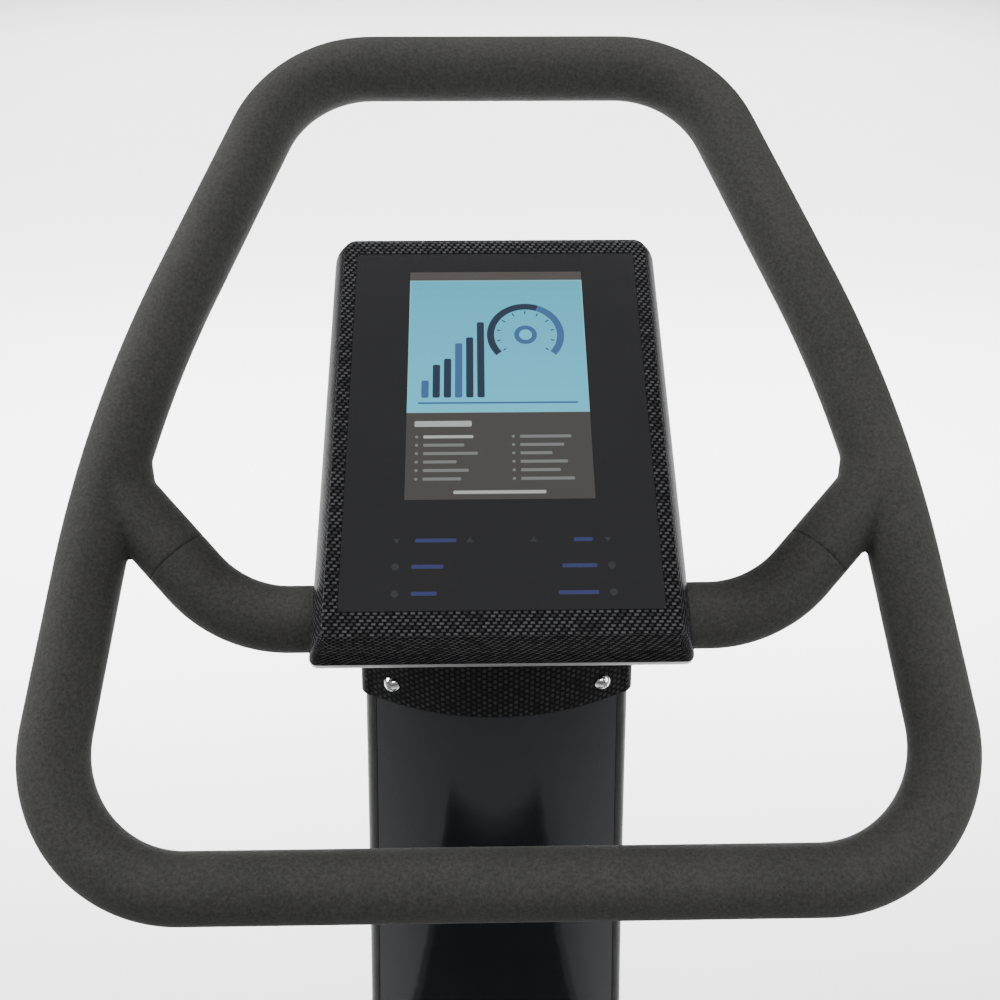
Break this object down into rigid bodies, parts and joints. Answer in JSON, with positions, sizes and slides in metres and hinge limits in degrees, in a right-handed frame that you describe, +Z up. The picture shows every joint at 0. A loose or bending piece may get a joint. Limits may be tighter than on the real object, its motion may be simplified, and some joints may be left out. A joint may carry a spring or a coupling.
{
  "type": "vibration plate",
  "caption": "Standing vibration plate: spring-mounted deck with twin eccentric motors, curved column, touch console and foam-covered grip loop.",
  "frame": {"origin": "on the floor, under the middle of the machine's overall length and width", "axes": "+Z up; the user stands on the deck at -Y and faces the console towards +Y; +X is the user's right"},
  "size_m": [0.7, 1.04, 1.55],
  "materials": {
    "grip_foam": "matt dark-grey closed-cell foam with a fine pebbled skin",
    "tube_steel": "bare drawn steel tube",
    "black_rubber": "matt black rubber",
    "carbon_weave": "clear-coated moulding with a black carbon twill",
    "rim_grey": "light-grey satin plastic",
    "dark_plastic": "fine-textured black plastic",
    "black_glass": "flush dark glass, polished",
    "board_green": "circuit board",
    "zinc_steel": "zinc-plated steel",
    "chrome_screw": "polished chrome",
    "frame_steel": "black powder coat",
    "panel_gloss": "high-gloss blue-black lacquer",
    "edge_black": "satin black plastic",
    "column_silver": "silver metallic paint",
    "cable_black": "black cable sheath",
    "hook_steel": "black coated steel rod",
    "skirt_grey": "textured dark-grey plastic",
    "inverter_alloy": "raw aluminium heat sink",
    "rocker_black": "gloss black plastic",
    "foot_black": "black rubber pad on a steel stud",
    "wheel_black": "black wheel, soft tread",
    "deck_silver": "silver satin frame",
    "mat_rubber": "ribbed anti-slip rubber mat",
    "stator_steel": "stacked motor steel",
    "motor_alloy": "cast alloy, grey",
    "weight_iron": "machined iron"
  },
  "bodies": {
    "machine": {"arm_foam_left": "grip_foam", "arm_foam_right": "grip_foam", "arm_grommets": "black_rubber", "base_pan": "frame_steel", "base_skirt": "skirt_grey", "column_formers": "zinc_steel", "column_front_panel": "panel_gloss", "column_rear_shell": "column_silver", "column_trim_left": "edge_black", "column_trim_right": "edge_black", "console_back": "dark_plastic", "console_bezel": "carbon_weave", "console_bolts": "zinc_steel", "console_glass": "black_glass", "console_rim": "rim_grey", "console_screws": "zinc_steel", "cowl_screws": "chrome_screw", "cross_arm": "tube_steel", "foot_lock_nuts": "zinc_steel", "grip_loop_tube": "tube_steel", "inverter": "inverter_alloy", "lcd_module": "dark_plastic", "loop_foam": "grip_foam", "mains_inlet": "dark_plastic", "mast": "frame_steel", "mast_bolts": "zinc_steel", "mount_posts": "frame_steel", "neck_bolts": "zinc_steel", "neck_bracket": "frame_steel", "neck_cap": "carbon_weave", "neck_cowl": "carbon_weave", "power_plate": "frame_steel", "rear_cover": "skirt_grey", "signal_cable": "cable_black", "strap_hook": "hook_steel", "switch_frame": "dark_plastic", "touch_board": "board_green", "wheel_brackets": "zinc_steel"},
    "deck": {"deck_plate": "frame_steel", "deck_trim": "deck_silver", "deck_mat": "mat_rubber", "rubber_mounts": "black_rubber", "mount_plates": "zinc_steel", "motor_stators": "stator_steel", "motor_bearings": "zinc_steel", "motor_end_covers": "motor_alloy", "motor_bolts": "zinc_steel", "front_motor_housing": "motor_alloy", "rear_motor_housing": "motor_alloy"},
    "front_rotor": {"front_rotor": "stator_steel", "front_weights": "weight_iron"},
    "rear_rotor": {"rear_rotor": "stator_steel", "rear_weights": "weight_iron"},
    "foot_front_left": {"foot_front_left": "foot_black"},
    "foot_front_right": {"foot_front_right": "foot_black"},
    "foot_rear_left": {"foot_rear_left": "foot_black"},
    "foot_rear_right": {"foot_rear_right": "foot_black"},
    "left_wheel": {"transport_wheel_left": "wheel_black"},
    "right_wheel": {"transport_wheel_right": "wheel_black"},
    "power_rocker": {"power_rocker": "rocker_black"}
  },
  "joints": [
    {"name": "deck_shake", "type": "slide", "parent": "machine", "child": "deck", "axis": [0, 0, 1], "range_m": [-0.002, 0.002], "stiffness_N_per_m": 260000, "springref_m": 0.00182, "deforming": ["rubber_mounts"]},
    {"name": "front_rotor_spin", "type": "hinge", "parent": "deck", "child": "front_rotor", "pos_m": [0, -0.29049, 0.089], "axis": [1, 0, 0], "continuous": true},
    {"name": "rear_rotor_spin", "type": "hinge", "parent": "deck", "child": "rear_rotor", "pos_m": [0, -0.13449, 0.089], "axis": [1, 0, 0], "continuous": true},
    {"name": "foot_front_left_level", "type": "slide", "parent": "machine", "child": "foot_front_left", "axis": [0, 0, 1], "range_m": [-0.012, 0]},
    {"name": "foot_front_right_level", "type": "slide", "parent": "machine", "child": "foot_front_right", "axis": [0, 0, 1], "range_m": [-0.012, 0]},
    {"name": "foot_rear_left_level", "type": "slide", "parent": "machine", "child": "foot_rear_left", "axis": [0, 0, 1], "range_m": [-0.012, 0]},
    {"name": "foot_rear_right_level", "type": "slide", "parent": "machine", "child": "foot_rear_right", "axis": [0, 0, 1], "range_m": [-0.012, 0]},
    {"name": "left_wheel_roll", "type": "hinge", "parent": "machine", "child": "left_wheel", "pos_m": [-0.15, 0.25197, 0.032], "axis": [1, 0, 0], "continuous": true},
    {"name": "right_wheel_roll", "type": "hinge", "parent": "machine", "child": "right_wheel", "pos_m": [0.15, 0.25197, 0.032], "axis": [1, 0, 0], "continuous": true},
    {"name": "power_rocker_tip", "type": "hinge", "parent": "machine", "child": "power_rocker", "pos_m": [-0.024, 0.25897, 0.049], "axis": [1, 0, 0], "range_deg": [0, 16]}
  ],
  "couplings": [
    {"joint": "rear_rotor_spin", "follows": "front_rotor_spin", "ratio": -1}
  ]
}
